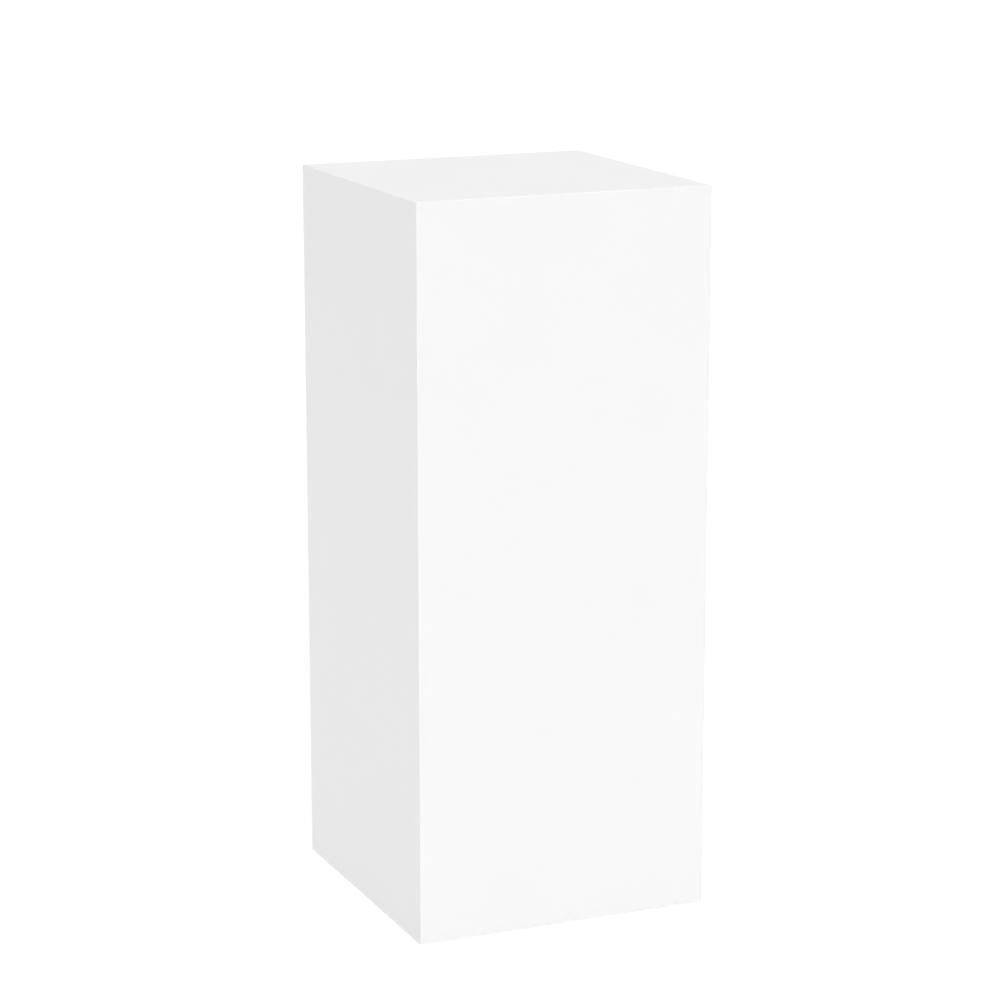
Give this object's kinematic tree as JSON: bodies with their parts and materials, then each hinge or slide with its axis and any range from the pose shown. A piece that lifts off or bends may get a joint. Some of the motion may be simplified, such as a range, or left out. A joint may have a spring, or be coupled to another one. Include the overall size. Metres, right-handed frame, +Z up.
{
  "type": "display plinth",
  "caption": "Tall square-section white display plinth with a flat top, crisp mitred edges and an open recessed base on hidden levelling feet.",
  "frame": {"origin": "on the floor at the middle of the square footprint", "axes": "+Z up along the plinth's height, -Y out of the front panel, +X to the right seen from the front"},
  "size_m": [0.4, 0.4, 0.95],
  "materials": {
    "white_lacquer": "satin white lacquer on MDF, raw brown board inside",
    "birch_plywood": "sanded, unfinished",
    "pine": "planed, unfinished",
    "beech": "pressed, unfinished",
    "zinc_screw": "yellow zinc plate",
    "zinc_steel": "bright zinc plate",
    "black_nylon": "moulded, fine grain",
    "grey_rubber": "matt"
  },
  "bodies": {
    "carcass": {"back_panel": "white_lacquer", "base_board": "birch_plywood", "base_board_screws": "zinc_screw", "base_rail_back": "pine", "base_rail_front": "pine", "base_rail_left": "pine", "base_rail_right": "pine", "base_rail_screws": "zinc_screw", "corner_batten_back_left": "pine", "corner_batten_back_right": "pine", "corner_batten_front_left": "pine", "corner_batten_front_right": "pine", "corner_batten_screws": "zinc_screw", "corner_biscuits_back_left": "beech", "corner_biscuits_back_right": "beech", "corner_biscuits_front_left": "beech", "corner_biscuits_front_right": "beech", "front_panel": "white_lacquer", "left_panel": "white_lacquer", "right_panel": "white_lacquer", "t_nut_back_left": "zinc_steel", "t_nut_back_right": "zinc_steel", "t_nut_front_left": "zinc_steel", "t_nut_front_right": "zinc_steel", "top_biscuits_back": "beech", "top_biscuits_front": "beech", "top_biscuits_left": "beech", "top_biscuits_right": "beech", "top_panel": "white_lacquer", "top_rail_back": "pine", "top_rail_front": "pine", "top_rail_left": "pine", "top_rail_right": "pine", "top_rail_side_screws": "zinc_screw", "top_rail_upright_screws": "zinc_screw"},
    "front_right_pad": {"foot_pad_front_right": "black_nylon", "foot_sole_front_right": "grey_rubber"},
    "front_right_stud": {"foot_stud_front_right": "zinc_steel"},
    "back_right_pad": {"foot_pad_back_right": "black_nylon", "foot_sole_back_right": "grey_rubber"},
    "back_right_stud": {"foot_stud_back_right": "zinc_steel"},
    "back_left_pad": {"foot_pad_back_left": "black_nylon", "foot_sole_back_left": "grey_rubber"},
    "back_left_stud": {"foot_stud_back_left": "zinc_steel"},
    "front_left_pad": {"foot_pad_front_left": "black_nylon", "foot_sole_front_left": "grey_rubber"},
    "front_left_stud": {"foot_stud_front_left": "zinc_steel"}
  },
  "joints": [
    {"name": "front_right_foot_travel", "type": "slide", "parent": "carcass", "child": "front_right_pad", "axis": [0, 0, -1], "range_m": [-0.0165, 0.0165]},
    {"name": "front_right_foot_turn", "type": "hinge", "parent": "front_right_pad", "child": "front_right_stud", "pos_m": [0.125, -0.125, 0.01], "axis": [0, 0, -1], "range_deg": [-3960, 3960]},
    {"name": "back_right_foot_travel", "type": "slide", "parent": "carcass", "child": "back_right_pad", "axis": [0, 0, -1], "range_m": [-0.0165, 0.0165]},
    {"name": "back_right_foot_turn", "type": "hinge", "parent": "back_right_pad", "child": "back_right_stud", "pos_m": [0.125, 0.125, 0.01], "axis": [0, 0, -1], "range_deg": [-3960, 3960]},
    {"name": "back_left_foot_travel", "type": "slide", "parent": "carcass", "child": "back_left_pad", "axis": [0, 0, -1], "range_m": [-0.0165, 0.0165]},
    {"name": "back_left_foot_turn", "type": "hinge", "parent": "back_left_pad", "child": "back_left_stud", "pos_m": [-0.125, 0.125, 0.01], "axis": [0, 0, -1], "range_deg": [-3960, 3960]},
    {"name": "front_left_foot_travel", "type": "slide", "parent": "carcass", "child": "front_left_pad", "axis": [0, 0, -1], "range_m": [-0.0165, 0.0165]},
    {"name": "front_left_foot_turn", "type": "hinge", "parent": "front_left_pad", "child": "front_left_stud", "pos_m": [-0.125, -0.125, 0.01], "axis": [0, 0, -1], "range_deg": [-3960, 3960]}
  ],
  "couplings": [
    {"joint": "front_right_foot_travel", "follows": "front_right_foot_turn", "m_per_rad": 0.00023873},
    {"joint": "back_right_foot_travel", "follows": "back_right_foot_turn", "m_per_rad": 0.00023873},
    {"joint": "back_left_foot_travel", "follows": "back_left_foot_turn", "m_per_rad": 0.00023873},
    {"joint": "front_left_foot_travel", "follows": "front_left_foot_turn", "m_per_rad": 0.00023873}
  ]
}
